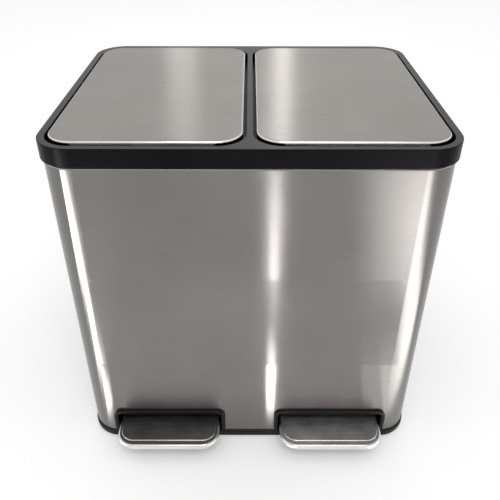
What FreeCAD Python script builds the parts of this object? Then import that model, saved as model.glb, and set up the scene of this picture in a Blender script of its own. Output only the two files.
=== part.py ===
"""Double recycling bin: two lidded compartments side by side in one brushed steel shell.

Millimetres. +X is to the right seen from the front, +Y to the back, +Z up. The origin is on the
floor, in the middle of the plan. The right-hand pieces are modelled, and the left-hand ones are
their mirror images.
"""
import FreeCAD
import Part

import math
import os

from FreeCAD import Vector

# ---------------------------------------------------------------- driving dimensions
# Rim: the black collar that closes the top
RIM_WIDTH = 410.0
RIM_DEPTH = 340.0
RIM_TOP = 406.0
RIM_HEIGHT = 19.75
RIM_CORNER = 37.0
RIM_EDGE_ROUND = 0.9
SKIRT_WALL = 2.5
TOP_PLATE = 2.2            # thickness of the rim's top
FRONT_STRIP = 7.0          # width of the rim's top face in front of a lid
SIDE_STRIP = 7.8
REAR_STRIP = 14.3
BRIDGE = 6.5               # bar between the two lids
OPENING_CORNER = 29.5
WELL_WALL = 1.2            # wall round the lid openings
LEDGE_DEPTH = 13.5         # from the rim's top down to the ledge that carries the buckets
LEDGE_WIDTH = 9.0
LEDGE_THICK = 2.5
POCKET_DEPTH = 20.0        # hinge pocket below the ledge

# Lids
LID_PROUD = 2.5            # height of a lid above the rim
LID_GAP_SIDE = 3.4
LID_GAP_FRONT = 4.5
LID_GAP_BACK = 4.2
LID_CORNER = 26.0
LID_FOLD = 8.0             # depth of the folded edge
LID_FOLD_ROUND = 2.0
LID_SHEET = 0.6
LINER_PLATE = 2.0
LINER_GAP = 0.2            # glue line between steel and liner
LINER_RIB = 3.5

# Shell
SHEET = 0.5
SHELL_INSET = 2.85         # steel face behind the collar's face
EDGE_CURL = 2.0            # radius of the steel's turned-in edges
SHADOW_GAP = 1.6           # between the collar's lower edge and the steel's shoulder
BOTTOM_FLANGE = 12.0
NECK_STEP = 0.1            # neck behind the end of the shoulder's curl

# Base
BAND_TOP = 11.6
BAND_PROUD = 1.5           # band in front of the steel face
BAND_ROUND = 3.2
FOOT_PROUD = 1.0
FOOT_RADIUS = 9.0
FOOT_RECESS = 1.2
TRAY_WALL = 2.5
FOOT_FROM_EDGE = 42.0      # foot's middle from the rim's sides, front and back
FOOT_ROUND = 0.4
DECK_TOP = 50.0
DECK_THICK = 2.5
DECK_SKIRT = 5.0           # stiffening edge under the deck
DECK_GAP = 2.0             # between the deck and the steel
TOWER_FROM_SIDE = 22.0     # posts that carry the deck
TOWER_FROM_END = 80.0
SIDE_SCREW_FROM_FRONT = 84.0
SIDE_SCREW_FROM_BACK = 103.0

# Pedals
PEDAL_REACH = 36.5         # front of a pedal ahead of the rim's front face
PEDAL_CENTRE = 101.0       # from the bin's middle
PEDAL_WIDTH = 126.5
PEDAL_INSIDE = 25.0        # how far it runs in behind the rim's front face
PEDAL_CORNER = 22.0
PEDAL_UNDERSIDE = 23.6
PEDAL_RIM = 6.4            # height of the rolled edge
PEDAL_ROLL = 3.2
PEDAL_SHEET = 0.8
TREAD_RAISE = 1.2
TREAD_SIDE = 4.6           # border beside the raised tread
TREAD_FRONT = 7.5
TREAD_BACK = 17.9
TREAD_CORNER = 16.0
TREAD_BACK_CORNER = 5.0
TREAD_ROUNDED = 0.7        # share of the raise that its edge's round takes
CORE_DROP = 0.6            # core showing under the steel

# Pedal surrounds
PEDAL_GAP = 1.7            # between a pedal and its surround's legs
SURROUND_TOP = 50.5
SURROUND_BAR = 5.4
SURROUND_LEG = 5.2
SURROUND_LEG_END = 3.5     # legs end above the base band
SURROUND_PROUD = 3.5
SURROUND_CORNER = 10.5
SURROUND_ROUND = 1.6
SURROUND_INNER_CORNER = 4.5
SLEEVE_WALL = 1.2
SLEEVE_DEPTH = 15.0

# Mechanism
HINGE_AHEAD = 22.0         # hinge axis ahead of the lid's back edge, so the open lid clears the corners
HINGE_BELOW = 8.0          # and below the lid's top
HINGE_PIN_RADIUS = 2.5
KNUCKLE_RADIUS = 5.0
LID_OPENING = 80.0         # degrees
CRANK_RADIUS = 18.0
CRANK_PIN_RADIUS = 2.0
EAR_RADIUS = 5.5
EAR_THICK = 3.0
EAR_SWEEP_GAP = 1.2        # between a crank ear's sweep and the pocket's front wall
ROD_THICK = 4.0
ROD_WIDTH = 8.0
PIVOT_BEHIND = 60.0        # lever axle behind the rim's front face
PIVOT_HEIGHT = 27.5
AXLE_RADIUS = 3.0
LEVER_THICK = 3.0
LEVER_HEIGHT = 12.0
TONGUE_WIDTH = 44.0
TONGUE_THICK = 2.5
FOOT_PIN_RADIUS = 2.5
SLOT_PLAY = 0.8            # round a pin in a slot: the lid's arc isn't quite in step with the rod
RUNNING_FIT = 0.05
CLEARANCE = 0.5            # between pieces that move past each other
SCREW_RADIUS = 1.5
SCREW_HEAD_RADIUS = 2.7
SCREW_HEAD = 1.6
SCREW_FIT = 0.2
COLLAR_SCREW_FROM_FRONT = 67.0
COLLAR_SCREW_FROM_BACK = 132.0
COLLAR_SCREW_SHORT = 1.2   # skin left over the end of a collar screw
BASE_SCREW_GRIP = 3.0
DAMPER_BEHIND = 22.0       # damper axis behind the push rod
DAMPER_RADIUS = 7.0
DAMPER_BORE = 5.6
DAMPER_ROD_RADIUS = 2.0

# Buckets
BUCKET_WALL = 1.8
BUCKET_TAPER = 6.5         # a side's draw-in over the height
BUCKET_FIT = 0.8           # to the collar's ledge
BUCKET_CORNER = 22.0
BUCKET_FLOAT = 2.0         # under its floor
FLANGE_THICK = 2.5
FLANGE_OVERLAP = 6.0
BAIL_RADIUS = 1.75

# ---------------------------------------------------------------- places worked out from them
FRONT = (PEDAL_REACH - RIM_DEPTH) / 2
BACK = FRONT + RIM_DEPTH
SIDE = RIM_WIDTH / 2
RIM_BOTTOM = RIM_TOP - RIM_HEIGHT
PLATE_UNDER = RIM_TOP - TOP_PLATE
SHOULDER = RIM_BOTTOM - SHADOW_GAP
NECK_INSET = SHELL_INSET + EDGE_CURL + NECK_STEP
FLANGE_INSET = SHELL_INSET + BOTTOM_FLANGE

OPEN_LEFT = BRIDGE / 2
OPEN_RIGHT = SIDE - SIDE_STRIP
OPEN_FRONT = FRONT + FRONT_STRIP
OPEN_BACK = BACK - REAR_STRIP
LEDGE_TOP = RIM_TOP - LEDGE_DEPTH
LEDGE_BOTTOM = LEDGE_TOP - LEDGE_THICK

LID_LEFT = OPEN_LEFT + LID_GAP_SIDE
LID_RIGHT = OPEN_RIGHT - LID_GAP_SIDE
LID_FRONT = OPEN_FRONT + LID_GAP_FRONT
LID_BACK = OPEN_BACK - LID_GAP_BACK
LID_TOP = RIM_TOP + LID_PROUD
LID_BOTTOM = LID_TOP - LID_FOLD
LINER_TOP = LID_TOP - LID_SHEET - LINER_GAP
LINER_UNDER = LINER_TOP - LINER_PLATE

HINGE_Y = LID_BACK - HINGE_AHEAD
HINGE_Z = LID_TOP - HINGE_BELOW
HALF_OPENING = math.radians(LID_OPENING / 2)
CRANK_Y = HINGE_Y - CRANK_RADIUS * math.cos(HALF_OPENING)
CRANK_Z = HINGE_Z - CRANK_RADIUS * math.sin(HALF_OPENING)
STROKE = 2 * CRANK_RADIUS * math.sin(HALF_OPENING)
CRANK_SHIFT = CRANK_RADIUS * (1 - math.cos(HALF_OPENING))
ROD_Y = CRANK_Y - CRANK_SHIFT / 2

PIVOT_Y = FRONT + PIVOT_BEHIND
LEVER_REACH = ROD_Y - PIVOT_Y
LEVER_TILT = math.atan2(STROKE / 2, LEVER_REACH)
FOOT_PIN_Z = PIVOT_HEIGHT - STROKE / 2
WEB_X = PEDAL_CENTRE + ROD_THICK / 2 + CLEARANCE

POCKET_FRONT = HINGE_Y - CRANK_RADIUS - EAR_RADIUS - EAR_SWEEP_GAP
POCKET_BOTTOM = LEDGE_BOTTOM - POCKET_DEPTH
SURROUND_WIDTH = PEDAL_WIDTH + 2 * (PEDAL_GAP + SURROUND_LEG)
LEDGE_LEFT = OPEN_LEFT + LEDGE_WIDTH
LEDGE_RIGHT = OPEN_RIGHT - LEDGE_WIDTH
LEDGE_FRONT = OPEN_FRONT + LEDGE_WIDTH
LEDGE_BACK = POCKET_FRONT - FLANGE_OVERLAP
LEDGE_CORNER = OPENING_CORNER - LEDGE_WIDTH
DECK_UNDER = DECK_TOP - DECK_THICK
TRAY_FLOOR = FOOT_PROUD + TRAY_WALL
SURROUND_INNER_TOP = SURROUND_TOP - SURROUND_BAR
PEDAL_FRONT = FRONT - PEDAL_REACH
PEDAL_BACK = FRONT + PEDAL_INSIDE
PEDAL_TOP = PEDAL_UNDERSIDE + PEDAL_RIM
STEEL_FRONT = FRONT + SHELL_INSET
DAMPER_Y = ROD_Y + DAMPER_BEHIND

TINY = 0.01
PAST = 1.0                 # how far a cut runs past the face that it opens
LAP = 0.5                  # how far the parts of one moulding run into each other


# ---------------------------------------------------------------- shared shapes
def rounded(solid, radius, pick):
    """The solid with a round of this radius on the edges whose box the test picks."""
    return solid.makeFillet(radius, [edge for edge in solid.Edges if pick(edge.BoundBox)])


def level(z):
    """Test for edges that lie flat at this height."""
    return lambda box: abs(box.ZMin - z) < TINY and abs(box.ZMax - z) < TINY


def block(x0, x1, y0, y1, z0, z1, front_round=0.0, back_round=0.0):
    """A block whose upright edges are rounded, front and back by their own radius."""
    solid = Part.makeBox(x1 - x0, y1 - y0, z1 - z0, Vector(x0, y0, z0))
    for radius, y in ((front_round, y0), (back_round, y1)):
        if radius > 0:
            solid = rounded(solid, radius, lambda box: box.ZLength > (z1 - z0) / 2
                            and abs(box.YMin - y) < TINY and abs(box.YMax - y) < TINY)
    return solid


def arch(x0, x1, y0, y1, z0, z1, corner):
    """A block whose two top edges that run front to back are rounded."""
    solid = Part.makeBox(x1 - x0, y1 - y0, z1 - z0, Vector(x0, y0, z0))
    return rounded(solid, corner, lambda box: box.YLength > (y1 - y0) / 2
                   and abs(box.ZMin - z1) < TINY)


def outline(x0, x1, y0, y1, z, corner):
    """A flat rounded rectangle, as a wire."""
    plate = block(x0, x1, y0, y1, z, z + PAST, corner, corner)
    return next(face for face in plate.Faces if face.BoundBox.ZMax < z + TINY).OuterWire


def rim_block(inset, z0, z1):
    """The bin's own plan, drawn in by an inset."""
    corner = RIM_CORNER - inset
    return block(-SIDE + inset, SIDE - inset, FRONT + inset, BACK - inset, z0, z1, corner, corner)


def across(x0, x1, y, z, radius):
    """A cylinder that lies along X."""
    return Part.makeCylinder(radius, x1 - x0, Vector(x0, y, z), Vector(1, 0, 0))


def upright(x, y, z0, z1, radius):
    return Part.makeCylinder(radius, z1 - z0, Vector(x, y, z0))


def side_plate(x0, x1, points):
    """A plate between two X planes, from its (y, z) corners."""
    corners = [Vector(x0, y, z) for y, z in points]
    face = Part.Face(Part.makePolygon(corners + corners[:1]))
    return face.extrude(Vector(x1 - x0, 0, 0))


def joined(first, *others):
    return first.fuse(list(others)).removeSplitter()


def screw(x, y, z, direction, length):
    """A pan-head screw whose head sits on the point and whose shank runs along the direction."""
    at = Vector(x, y, z)
    head = Part.makeCylinder(SCREW_HEAD_RADIUS, SCREW_HEAD, at - direction * SCREW_HEAD, direction)
    head = rounded(head, SCREW_HEAD / 2, lambda box: (box.Center - at).Length > SCREW_HEAD - TINY)
    return head.fuse(Part.makeCylinder(SCREW_RADIUS, length, at, direction))


def screw_hole(x, y, z, direction, length):
    return Part.makeCylinder(SCREW_RADIUS + SCREW_FIT, length, Vector(x, y, z), direction)


def mirrored(solid):
    return solid.mirror(Vector(0, 0, 0), Vector(1, 0, 0))


def both_sides(solid):
    return solid, mirrored(solid)


def save(node, *solids):
    """One node's file: a single solid, or like pieces kept as separate solids."""
    shape = solids[0] if len(solids) == 1 else Part.makeCompound(list(solids))
    shape.exportStep(f"parts/{node}.step")


def save_pair(node, *solids):
    """A right-hand piece, and its mirror image on the left."""
    save(node + "_right", *solids)
    save(node + "_left", *[mirrored(solid) for solid in solids])


# ---------------------------------------------------------------- body shell
# Pedal openings through the steel, under the surrounds' flanges.
SLEEVE_HALF = SURROUND_WIDTH / 2 - SURROUND_LEG + SLEEVE_WALL
SLEEVE_TOP = SURROUND_INNER_TOP + SLEEVE_WALL
NOTCH_FIT = 0.3

# Screws through the tray's land into the shell's bottom flange, all round but the pedals.
BASE_SCREW_INSET = SHELL_INSET + BOTTOM_FLANGE / 2
BASE_SCREWS = [(0, FRONT + BASE_SCREW_INSET)]
for base_x in (-PEDAL_CENTRE, PEDAL_CENTRE):
    BASE_SCREWS.append((base_x, BACK - BASE_SCREW_INSET))
for base_x in (-SIDE + BASE_SCREW_INSET, SIDE - BASE_SCREW_INSET):
    for base_y in (FRONT + SIDE_SCREW_FROM_FRONT, BACK - SIDE_SCREW_FROM_BACK):
        BASE_SCREWS.append((base_x, base_y))

# Screws through the collar's side walls and the shell's neck.
COLLAR_SCREW_Z = (LEDGE_TOP + PLATE_UNDER) / 2
COLLAR_SCREW_LENGTH = SIDE_STRIP - COLLAR_SCREW_SHORT
COLLAR_SCREWS = (FRONT + COLLAR_SCREW_FROM_FRONT, BACK - COLLAR_SCREW_FROM_BACK)


def collar_screw_holes():
    right = [screw_hole(OPEN_RIGHT, y, COLLAR_SCREW_Z, Vector(1, 0, 0), COLLAR_SCREW_LENGTH + SCREW_FIT)
             for y in COLLAR_SCREWS]
    return right + [mirrored(hole) for hole in right]


def make_body_shell():
    def stack(inset, bottom, shoulder, neck_inset, neck_top, curl):
        wall = rim_block(inset, bottom, shoulder)
        for z in (bottom, shoulder):
            wall = rounded(wall, curl, level(z))
        return wall.fuse(rim_block(neck_inset, shoulder - curl, neck_top))

    outside = stack(SHELL_INSET, BAND_TOP, SHOULDER, NECK_INSET, PLATE_UNDER, EDGE_CURL)
    inside = stack(SHELL_INSET + SHEET, BAND_TOP + SHEET, SHOULDER - SHEET,
                   NECK_INSET + SHEET, PLATE_UNDER + PAST, EDGE_CURL - SHEET)
    shell = outside.cut([inside, rim_block(FLANGE_INSET, BAND_TOP - PAST, BAND_TOP + PAST)])
    notch = arch(PEDAL_CENTRE - SLEEVE_HALF - NOTCH_FIT, PEDAL_CENTRE + SLEEVE_HALF + NOTCH_FIT,
                 FRONT - PAST, FRONT + FLANGE_INSET + PAST, BAND_TOP - PAST, SLEEVE_TOP + NOTCH_FIT,
                 SURROUND_CORNER / 2)
    holes = [screw_hole(x, y, BAND_TOP - PAST, Vector(0, 0, 1), SHEET + 2 * PAST) for x, y in BASE_SCREWS]
    return shell.cut([*both_sides(notch), *holes, *collar_screw_holes()])


# ---------------------------------------------------------------- top collar
# Hinge cheeks stand in the pocket behind the buckets, one near each end of a lid's pin.
CHEEK_THICK = 4.0
CHEEK_FROM_LID_EDGE = 9.0  # clear of the lid's rounded corner
CHEEK_RADIUS = LINER_UNDER - HINGE_Z - CLEARANCE
CHEEKS = (LID_LEFT + CHEEK_FROM_LID_EDGE, LID_RIGHT - CHEEK_FROM_LID_EDGE - CHEEK_THICK)
POCKET_WALL = 2.5
POCKET_END = 4.0
CHEEK_STEM = 1.0           # stem's back edge ahead of the pin's axis
CHEEK_TIE = 5.0            # height of the tie across the pocket


def hinge_cheek(x):
    """Plate from the pocket's front wall to its rear wall, rising in front of the lid's sweep."""
    stem_back = HINGE_Y - CHEEK_STEM
    tie_top = POCKET_BOTTOM + CHEEK_TIE
    plate = side_plate(x, x + CHEEK_THICK, [
        (POCKET_FRONT - POCKET_WALL / 2, POCKET_BOTTOM), (OPEN_BACK + POCKET_WALL / 2, POCKET_BOTTOM),
        (OPEN_BACK + POCKET_WALL / 2, tie_top), (stem_back, tie_top), (stem_back, HINGE_Z),
        (HINGE_Y - CHEEK_RADIUS + LAP, HINGE_Z), (POCKET_FRONT - POCKET_WALL / 2, LEDGE_BOTTOM)])
    cheek = joined(plate, across(x, x + CHEEK_THICK, HINGE_Y, HINGE_Z, CHEEK_RADIUS))
    return cheek.cut(across(x - PAST, x + CHEEK_THICK + PAST, HINGE_Y, HINGE_Z,
                            HINGE_PIN_RADIUS + RUNNING_FIT))


def make_top_collar():
    collar = rim_block(0, RIM_BOTTOM, RIM_TOP)
    for z in (RIM_BOTTOM, RIM_TOP):
        collar = rounded(collar, RIM_EDGE_ROUND, level(z))
    well_corner = OPENING_CORNER + WELL_WALL
    well = block(-OPEN_RIGHT - WELL_WALL, OPEN_RIGHT + WELL_WALL, OPEN_FRONT - WELL_WALL,
                 OPEN_BACK + POCKET_WALL, LEDGE_BOTTOM, PLATE_UNDER, well_corner, well_corner)
    hollow = rim_block(SKIRT_WALL, RIM_BOTTOM - PAST, PLATE_UNDER)
    collar = collar.cut(hollow.cut(well))
    lid_well = block(OPEN_LEFT, OPEN_RIGHT, OPEN_FRONT, OPEN_BACK, LEDGE_TOP, RIM_TOP + PAST,
                     OPENING_CORNER, OPENING_CORNER)
    bucket_way = block(LEDGE_LEFT, LEDGE_RIGHT, LEDGE_FRONT, LEDGE_BACK, LEDGE_BOTTOM - PAST,
                       LEDGE_TOP + PAST, LEDGE_CORNER, LEDGE_CORNER)
    pocket = block(OPEN_LEFT + POCKET_END, OPEN_RIGHT - POCKET_END, POCKET_FRONT, OPEN_BACK,
                   LEDGE_BOTTOM - PAST, LEDGE_TOP + PAST, POCKET_END, POCKET_END)
    collar = collar.cut([solid for cavity in (lid_well, bucket_way, pocket)
                         for solid in both_sides(cavity)])
    collar = rounded(collar, RIM_EDGE_ROUND / 2, lambda box: level(RIM_TOP)(box)
                     and box.XMin > -OPEN_RIGHT - TINY and box.XMax < OPEN_RIGHT + TINY
                     and box.YMin > OPEN_FRONT - TINY and box.YMax < OPEN_BACK + TINY)
    wall_end = CHEEKS[1] + CHEEK_THICK
    pocket_walls = [block(-wall_end, wall_end, y, y + POCKET_WALL, POCKET_BOTTOM,
                          LEDGE_BOTTOM + LAP)
                    for y in (POCKET_FRONT - POCKET_WALL, OPEN_BACK)]
    cheeks = [solid for x in CHEEKS for solid in both_sides(hinge_cheek(x))]
    return joined(collar, *pocket_walls, *cheeks).cut(collar_screw_holes())


def make_collar_screws():
    right = [screw(OPEN_RIGHT, y, COLLAR_SCREW_Z, Vector(1, 0, 0), COLLAR_SCREW_LENGTH)
             for y in COLLAR_SCREWS]
    return right + [mirrored(solid) for solid in right]


# ---------------------------------------------------------------- base tray, deck and feet
BAND_INSET = SHELL_INSET - BAND_PROUD
LAND_MARGIN = 1.0          # land past the steel's flange
LAND_INSET = FLANGE_INSET + LAND_MARGIN
LAND_UNDER = BAND_TOP - TRAY_WALL
FEET = [(x, y) for x in (-SIDE + FOOT_FROM_EDGE, SIDE - FOOT_FROM_EDGE)
        for y in (FRONT + FOOT_FROM_EDGE, BACK - FOOT_FROM_EDGE)]
TOWER_RADIUS = 4.5
TOWERS = [(x, y) for x in (-SIDE + TOWER_FROM_SIDE, 0, SIDE - TOWER_FROM_SIDE)
          for y in (FRONT + TOWER_FROM_END, BACK - TOWER_FROM_END)]
DECK_SCREW_LENGTH = 12.0
DECK_SCREW_SUNK = 1.0      # screw's seat below the deck's top

# Axle lugs stand either side of the lever's web, with a spacer bush on each side of it.
LUG_GAP = 10.0             # from the web's middle to a lug
LUG_THICK = 5.0
LUG_RADIUS = 7.0
LEVER_MIDDLE = WEB_X + LEVER_THICK / 2
AXLE_OVERHANG = 4.0
CLIP_THICK = 0.8
CLIP_RADIUS = 5.0
BUSH_WALL = 1.8


def make_base_tray():
    band = rim_block(BAND_INSET, FOOT_PROUD, BAND_TOP)
    for z in (FOOT_PROUD, BAND_TOP):
        band = rounded(band, BAND_ROUND, level(z))
    under_land = rim_block(BAND_INSET + TRAY_WALL, FOOT_PROUD - PAST, LAND_UNDER)
    ring_wall = rim_block(LAND_INSET, FOOT_PROUD - 2 * PAST, LAND_UNDER + PAST)
    inside = rim_block(LAND_INSET + TRAY_WALL, TRAY_FLOOR, BAND_TOP + PAST)
    tray = band.cut([under_land.cut(ring_wall), inside])
    towers = [upright(x, y, TRAY_FLOOR - LAP, DECK_UNDER, TOWER_RADIUS) for x, y in TOWERS]
    lugs = []
    for x in (LEVER_MIDDLE - LUG_GAP - LUG_THICK, LEVER_MIDDLE + LUG_GAP):
        lug = block(x, x + LUG_THICK, PIVOT_Y - LUG_RADIUS, PIVOT_Y + LUG_RADIUS, TRAY_FLOOR - LAP,
                    PIVOT_HEIGHT)
        lug = joined(lug, across(x, x + LUG_THICK, PIVOT_Y, PIVOT_HEIGHT, LUG_RADIUS))
        lugs += both_sides(lug.cut(across(x - PAST, x + LUG_THICK + PAST, PIVOT_Y, PIVOT_HEIGHT,
                                          AXLE_RADIUS + RUNNING_FIT)))
    tray = joined(tray, *towers, *lugs)
    sockets = [upright(x, y, 0, FOOT_PROUD + FOOT_RECESS, FOOT_RADIUS + SCREW_FIT) for x, y in FEET]
    pilots = [screw_hole(x, y, DECK_UNDER - DECK_SCREW_LENGTH, Vector(0, 0, 1),
                         DECK_SCREW_LENGTH + PAST)
              for x, y in TOWERS]
    holes = [screw_hole(x, y, LAND_UNDER - PAST, Vector(0, 0, 1), TRAY_WALL + 2 * PAST)
             for x, y in BASE_SCREWS]
    return tray.cut(sockets + pilots + holes)


def make_feet():
    return [rounded(upright(x, y, 0, FOOT_PROUD + FOOT_RECESS, FOOT_RADIUS),
                    FOOT_ROUND, level(0))
            for x, y in FEET]


def make_base_screws():
    return [screw(x, y, LAND_UNDER, Vector(0, 0, 1), TRAY_WALL + SHEET + BASE_SCREW_GRIP)
            for x, y in BASE_SCREWS]


ROD_SLOT_MARGIN = 2.5
ROD_SLOT_X = CLEARANCE + ROD_THICK / 2 + LEVER_THICK + ROD_SLOT_MARGIN
ROD_SLOT_CORNER = 2.0
ROD_SLOT_Y = 10.0          # half the slot's length, front to back


def make_deck():
    inset = SHELL_INSET + SHEET + DECK_GAP
    skirt_bottom = DECK_UNDER - DECK_SKIRT
    deck = rim_block(inset, DECK_UNDER, DECK_TOP)
    skirt = rim_block(inset, skirt_bottom, DECK_UNDER).cut(
        [rim_block(inset + TRAY_WALL, skirt_bottom - PAST, DECK_UNDER + PAST),
         block(-SIDE, SIDE, FRONT, PEDAL_BACK, skirt_bottom - PAST, DECK_UNDER + PAST)])
    deck = joined(deck, skirt)
    rod_slot = block(PEDAL_CENTRE - ROD_SLOT_X, PEDAL_CENTRE + ROD_SLOT_X, ROD_Y - ROD_SLOT_Y,
                     ROD_Y + ROD_SLOT_Y, DECK_UNDER - PAST, DECK_TOP + PAST, ROD_SLOT_CORNER, ROD_SLOT_CORNER)
    holes = [screw_hole(x, y, DECK_UNDER - PAST, Vector(0, 0, 1), DECK_THICK + 2 * PAST)
             for x, y in TOWERS]
    counterbores = [upright(x, y, DECK_TOP - DECK_SCREW_SUNK, DECK_TOP + PAST, SCREW_HEAD_RADIUS + SCREW_FIT)
                    for x, y in TOWERS]
    return deck.cut([*both_sides(rod_slot), *holes, *counterbores])


def make_deck_screws():
    return [screw(x, y, DECK_TOP - DECK_SCREW_SUNK, Vector(0, 0, -1), DECK_SCREW_LENGTH) for x, y in TOWERS]


def make_lever_axle():
    end = LUG_GAP + LUG_THICK + AXLE_OVERHANG
    return across(LEVER_MIDDLE - end, LEVER_MIDDLE + end, PIVOT_Y, PIVOT_HEIGHT, AXLE_RADIUS)


def ring(x0, x1, radius):
    outer = across(x0, x1, PIVOT_Y, PIVOT_HEIGHT, radius)
    return outer.cut(across(x0 - PAST, x1 + PAST, PIVOT_Y, PIVOT_HEIGHT, AXLE_RADIUS + RUNNING_FIT))


def make_lever_bushes():
    web_half = LEVER_THICK / 2 + SCREW_FIT
    lug_side = LUG_GAP - RUNNING_FIT
    return [ring(LEVER_MIDDLE + x0, LEVER_MIDDLE + x1, AXLE_RADIUS + BUSH_WALL)
            for x0, x1 in ((-lug_side, -web_half), (web_half, lug_side))]


def make_axle_clips():
    lug_end = LUG_GAP + LUG_THICK + RUNNING_FIT
    return [ring(LEVER_MIDDLE + x0, LEVER_MIDDLE + x0 + CLIP_THICK, CLIP_RADIUS)
            for x0 in (-lug_end - CLIP_THICK, lug_end)]


# ---------------------------------------------------------------- pedal surrounds
LEG_END_CORNER = 2.2       # round at the outside of a leg's end


def make_pedal_surround():
    """Flange on the steel, an inverted U, with a sleeve behind it that lines the opening."""
    half = SURROUND_WIDTH / 2
    opening_half = half - SURROUND_LEG
    face = STEEL_FRONT - SURROUND_PROUD
    leg_end = BAND_TOP + SURROUND_LEG_END
    flange = arch(PEDAL_CENTRE - half, PEDAL_CENTRE + half, face, STEEL_FRONT, leg_end, SURROUND_TOP,
                  SURROUND_CORNER)
    flange = rounded(flange, LEG_END_CORNER, lambda box: box.YLength > SURROUND_PROUD / 2
                     and level(leg_end)(box))
    sleeve = arch(PEDAL_CENTRE - SLEEVE_HALF, PEDAL_CENTRE + SLEEVE_HALF, STEEL_FRONT - PAST,
                  STEEL_FRONT + SLEEVE_DEPTH, BAND_TOP, SLEEVE_TOP, SURROUND_CORNER / 2)
    opening = arch(PEDAL_CENTRE - opening_half, PEDAL_CENTRE + opening_half, face - PAST,
                   STEEL_FRONT + SLEEVE_DEPTH + PAST, BAND_TOP - PAST, SURROUND_INNER_TOP,
                   SURROUND_INNER_CORNER)
    surround = joined(flange, sleeve).cut(opening)
    return rounded(surround, SURROUND_ROUND,
                   lambda box: abs(box.YMax - face) < TINY and box.ZMax > leg_end + LEG_END_CORNER + TINY)


# ---------------------------------------------------------------- pedals and levers
def pedal_block(inset, z0, z1):
    """The pedal's plan, drawn in by an inset on its front and sides."""
    half = PEDAL_WIDTH / 2 - inset
    return block(PEDAL_CENTRE - half, PEDAL_CENTRE + half, PEDAL_FRONT + inset, PEDAL_BACK, z0, z1,
                 PEDAL_CORNER - inset)


def rolled(pedal, radius, z):
    """A round on the top edge along the front and the sides."""
    return rounded(pedal, radius, lambda box: level(z)(box) and box.YMin < PEDAL_BACK - 2 * TINY)


def tread_block(inset, z0, z1):
    """The raised tread's plan, drawn in by an inset."""
    half = PEDAL_WIDTH / 2 - TREAD_SIDE - inset
    return block(PEDAL_CENTRE - half, PEDAL_CENTRE + half, PEDAL_FRONT + TREAD_FRONT + inset,
                 PEDAL_BACK - TREAD_BACK - inset, z0, z1, TREAD_CORNER - inset, TREAD_BACK_CORNER - inset)


def make_pedal():
    """Pressing with a rolled edge, open below and behind, with its tread pushed up from below."""
    under = PEDAL_TOP - PEDAL_SHEET
    outside = rolled(pedal_block(0, PEDAL_UNDERSIDE, PEDAL_TOP), PEDAL_ROLL, PEDAL_TOP)
    inside = rolled(pedal_block(PEDAL_SHEET, PEDAL_UNDERSIDE - PAST, under),
                    PEDAL_ROLL - PEDAL_SHEET, under)
    tread_top = PEDAL_TOP + TREAD_RAISE
    tread = rounded(tread_block(0, under, tread_top), TREAD_RAISE * TREAD_ROUNDED, level(tread_top))
    tread_hollow = tread_block(PEDAL_SHEET, under - PAST, tread_top - PEDAL_SHEET)
    return joined(outside, tread).cut([inside, tread_hollow])


CORE_FIT = 0.2             # between the core and the pressing
CORE_INSET = PEDAL_SHEET + CORE_FIT
CORE_TOP = PEDAL_TOP - PEDAL_SHEET - CORE_FIT
CORE_BOTTOM = PEDAL_UNDERSIDE - CORE_DROP
CORE_WALL = 2.5
CORE_POCKET_CORNER = 3.0
TONGUE_RECESS = 0.8        # tongue above the core's underside
TONGUE_FIT = 0.3
TONGUE_FROM_FRONT = 15.0   # tongue's end behind the pedal's front
TONGUE_TAIL = 16.0         # tongue's weld along the web
TONGUE_CORNER = 5.0
TONGUE_BOTTOM = CORE_BOTTOM + TONGUE_RECESS
TONGUE_TOP = TONGUE_BOTTOM + TONGUE_THICK
TONGUE_FRONT = PEDAL_FRONT + TONGUE_FROM_FRONT
WEB_GAP = 1.0              # web behind the pedal's back
WEB_FRONT = PEDAL_BACK + WEB_GAP
TONGUE_BACK = WEB_FRONT + TONGUE_TAIL
PEDAL_SCREW_OFF = 14.0     # from the pedal's middle
PEDAL_SCREW_ROWS = (8.0, 38.0)  # behind the tongue's front
PEDAL_SCREW_BITE = 2.0     # thread in the core
PEDAL_SCREWS = [(PEDAL_CENTRE + x, TONGUE_FRONT + y)
                for x in (-PEDAL_SCREW_OFF, PEDAL_SCREW_OFF) for y in PEDAL_SCREW_ROWS]
PEDAL_SCREW_LENGTH = TONGUE_THICK + PEDAL_SCREW_BITE


def make_pedal_core():
    """Moulded block that fills the pressing, pocketed from below, and holds the lever's tongue."""
    core = rolled(pedal_block(CORE_INSET, CORE_BOTTOM, CORE_TOP), PEDAL_ROLL - CORE_INSET, CORE_TOP)
    half = TONGUE_WIDTH / 2 + TONGUE_FIT
    tongue_way = block(PEDAL_CENTRE - half, PEDAL_CENTRE + half, TONGUE_FRONT - TONGUE_FIT,
                       PEDAL_BACK + PAST, CORE_BOTTOM - PAST, TONGUE_TOP + TONGUE_FIT)
    pocket_left = PEDAL_CENTRE + half + CORE_WALL
    pocket_right = PEDAL_CENTRE + PEDAL_WIDTH / 2 - CORE_INSET - CORE_WALL
    pocket = block(pocket_left, pocket_right, PEDAL_FRONT + PEDAL_CORNER, PEDAL_BACK - 2 * CORE_WALL,
                   CORE_BOTTOM - PAST, CORE_TOP - CORE_WALL, CORE_POCKET_CORNER, CORE_POCKET_CORNER)
    twin = pocket.mirror(Vector(PEDAL_CENTRE, 0, 0), Vector(1, 0, 0))
    holes = [screw_hole(x, y, TONGUE_BOTTOM, Vector(0, 0, 1), PEDAL_SCREW_LENGTH + SCREW_FIT)
             for x, y in PEDAL_SCREWS]
    return core.cut([tongue_way, pocket, twin, *holes])


def make_pedal_screws():
    return [screw(x, y, TONGUE_BOTTOM, Vector(0, 0, 1), PEDAL_SCREW_LENGTH) for x, y in PEDAL_SCREWS]


BOSS_MARGIN = 1.0          # lever's boss past its web


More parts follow.
